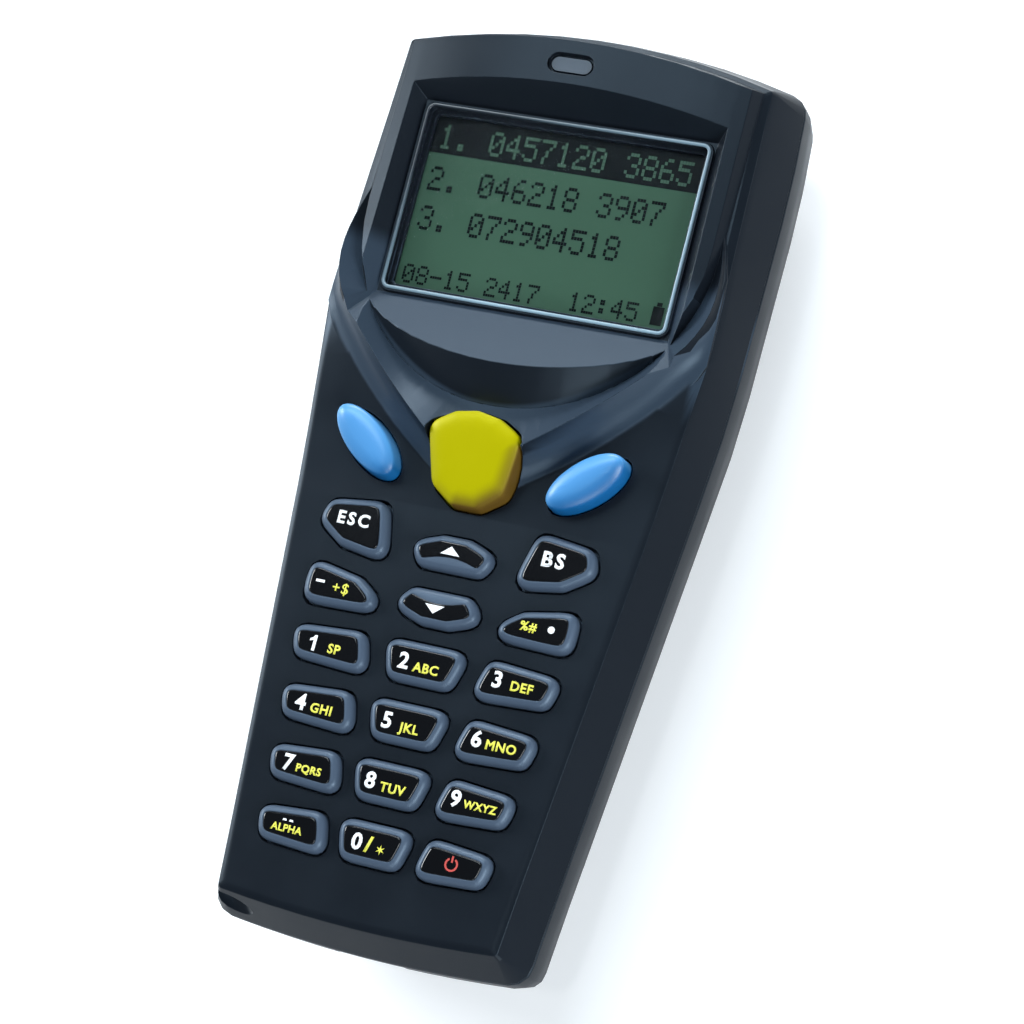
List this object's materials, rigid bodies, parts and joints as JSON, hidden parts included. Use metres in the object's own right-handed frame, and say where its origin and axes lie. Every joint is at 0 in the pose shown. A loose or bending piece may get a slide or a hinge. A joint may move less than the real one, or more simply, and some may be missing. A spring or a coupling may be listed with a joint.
{
  "type": "portable barcode data terminal",
  "caption": "Pocket barcode scanner with a crowned display hood, tapered grip, rubber keypad, scan window in its head and sliding battery door.",
  "frame": {"origin": "Under the middle of the body, at the lowest point of its back", "axes": "+X to the right as the keypad is read, +Y towards the scanning end, +Z out of the keypad"},
  "size_m": [0.056, 0.122, 0.032],
  "materials": {
    "shell": "fine satin texture",
    "window": "clear and glossy",
    "display": "polished glass with a green film",
    "diffuser": "satin",
    "light_guide": "clear and glossy",
    "board": "solder mask",
    "chip": "moulded epoxy",
    "rubber_sheet": "matte",
    "engine": "satin",
    "red_window": "dark red and glossy",
    "cell_wrap": "glossy sleeve",
    "metal": "bright nickel",
    "screw": "blackened",
    "key_rubber": "grey rubber with glossy black caps",
    "key_yellow": "satin yellow rubber",
    "key_blue": "satin blue rubber"
  },
  "bodies": {
    "body": {"front_cover": "shell", "back_cover": "shell", "display_window": "window", "lcd_glass": "display", "lcd_backlight": "diffuser", "status_light": "light_guide", "status_led": "diffuser", "main_board": "board", "processor": "chip", "buzzer": "chip", "backup_cell": "metal", "keypad_mat": "rubber_sheet", "scan_engine": "engine", "scan_window": "red_window", "ir_window": "red_window", "battery_left": "cell_wrap", "battery_right": "cell_wrap", "battery_spring_left": "metal", "battery_spring_right": "metal", "contact_plates": "metal", "case_screws": "screw"},
    "door": {"battery_door": "shell"},
    "key_scan": {"key_scan": "key_yellow"},
    "key_left": {"key_left": "key_blue"},
    "key_right": {"key_right": "key_blue"},
    "key_escape": {"key_escape": "key_rubber"},
    "key_up": {"key_up": "key_rubber"},
    "key_backspace": {"key_backspace": "key_rubber"},
    "key_minus": {"key_minus": "key_rubber"},
    "key_down": {"key_down": "key_rubber"},
    "key_dot": {"key_dot": "key_rubber"},
    "key_1": {"key_1": "key_rubber"},
    "key_2": {"key_2": "key_rubber"},
    "key_3": {"key_3": "key_rubber"},
    "key_4": {"key_4": "key_rubber"},
    "key_5": {"key_5": "key_rubber"},
    "key_6": {"key_6": "key_rubber"},
    "key_7": {"key_7": "key_rubber"},
    "key_8": {"key_8": "key_rubber"},
    "key_9": {"key_9": "key_rubber"},
    "key_alpha": {"key_alpha": "key_rubber"},
    "key_0": {"key_0": "key_rubber"},
    "key_power": {"key_power": "key_rubber"}
  },
  "joints": [
    {"name": "door_slide", "type": "slide", "parent": "body", "child": "door", "axis": [0, -1, 0], "range_m": [0, 0.052]},
    {"name": "key_scan_press", "type": "slide", "parent": "body", "child": "key_scan", "axis": [0, 0, -1], "range_m": [0, 0.001], "stiffness_N_per_m": 1000, "springref_m": -0.0003},
    {"name": "key_left_press", "type": "slide", "parent": "body", "child": "key_left", "axis": [0, 0, -1], "range_m": [0, 0.001], "stiffness_N_per_m": 1000, "springref_m": -0.0003},
    {"name": "key_right_press", "type": "slide", "parent": "body", "child": "key_right", "axis": [0, 0, -1], "range_m": [0, 0.001], "stiffness_N_per_m": 1000, "springref_m": -0.0003},
    {"name": "key_escape_press", "type": "slide", "parent": "body", "child": "key_escape", "axis": [0, 0, -1], "range_m": [0, 0.001], "stiffness_N_per_m": 1000, "springref_m": -0.0003},
    {"name": "key_up_press", "type": "slide", "parent": "body", "child": "key_up", "axis": [0, 0, -1], "range_m": [0, 0.001], "stiffness_N_per_m": 1000, "springref_m": -0.0003},
    {"name": "key_backspace_press", "type": "slide", "parent": "body", "child": "key_backspace", "axis": [0, 0, -1], "range_m": [0, 0.001], "stiffness_N_per_m": 1000, "springref_m": -0.0003},
    {"name": "key_minus_press", "type": "slide", "parent": "body", "child": "key_minus", "axis": [0, 0, -1], "range_m": [0, 0.001], "stiffness_N_per_m": 1000, "springref_m": -0.0003},
    {"name": "key_down_press", "type": "slide", "parent": "body", "child": "key_down", "axis": [0, 0, -1], "range_m": [0, 0.001], "stiffness_N_per_m": 1000, "springref_m": -0.0003},
    {"name": "key_dot_press", "type": "slide", "parent": "body", "child": "key_dot", "axis": [0, 0, -1], "range_m": [0, 0.001], "stiffness_N_per_m": 1000, "springref_m": -0.0003},
    {"name": "key_1_press", "type": "slide", "parent": "body", "child": "key_1", "axis": [0, 0, -1], "range_m": [0, 0.001], "stiffness_N_per_m": 1000, "springref_m": -0.0003},
    {"name": "key_2_press", "type": "slide", "parent": "body", "child": "key_2", "axis": [0, 0, -1], "range_m": [0, 0.001], "stiffness_N_per_m": 1000, "springref_m": -0.0003},
    {"name": "key_3_press", "type": "slide", "parent": "body", "child": "key_3", "axis": [0, 0, -1], "range_m": [0, 0.001], "stiffness_N_per_m": 1000, "springref_m": -0.0003},
    {"name": "key_4_press", "type": "slide", "parent": "body", "child": "key_4", "axis": [0, 0, -1], "range_m": [0, 0.001], "stiffness_N_per_m": 1000, "springref_m": -0.0003},
    {"name": "key_5_press", "type": "slide", "parent": "body", "child": "key_5", "axis": [0, 0, -1], "range_m": [0, 0.001], "stiffness_N_per_m": 1000, "springref_m": -0.0003},
    {"name": "key_6_press", "type": "slide", "parent": "body", "child": "key_6", "axis": [0, 0, -1], "range_m": [0, 0.001], "stiffness_N_per_m": 1000, "springref_m": -0.0003},
    {"name": "key_7_press", "type": "slide", "parent": "body", "child": "key_7", "axis": [0, 0, -1], "range_m": [0, 0.001], "stiffness_N_per_m": 1000, "springref_m": -0.0003},
    {"name": "key_8_press", "type": "slide", "parent": "body", "child": "key_8", "axis": [0, 0, -1], "range_m": [0, 0.001], "stiffness_N_per_m": 1000, "springref_m": -0.0003},
    {"name": "key_9_press", "type": "slide", "parent": "body", "child": "key_9", "axis": [0, 0, -1], "range_m": [0, 0.001], "stiffness_N_per_m": 1000, "springref_m": -0.0003},
    {"name": "key_alpha_press", "type": "slide", "parent": "body", "child": "key_alpha", "axis": [0, 0, -1], "range_m": [0, 0.001], "stiffness_N_per_m": 1000, "springref_m": -0.0003},
    {"name": "key_0_press", "type": "slide", "parent": "body", "child": "key_0", "axis": [0, 0, -1], "range_m": [0, 0.001], "stiffness_N_per_m": 1000, "springref_m": -0.0003},
    {"name": "key_power_press", "type": "slide", "parent": "body", "child": "key_power", "axis": [0, 0, -1], "range_m": [0, 0.001], "stiffness_N_per_m": 1000, "springref_m": -0.0003}
  ]
}
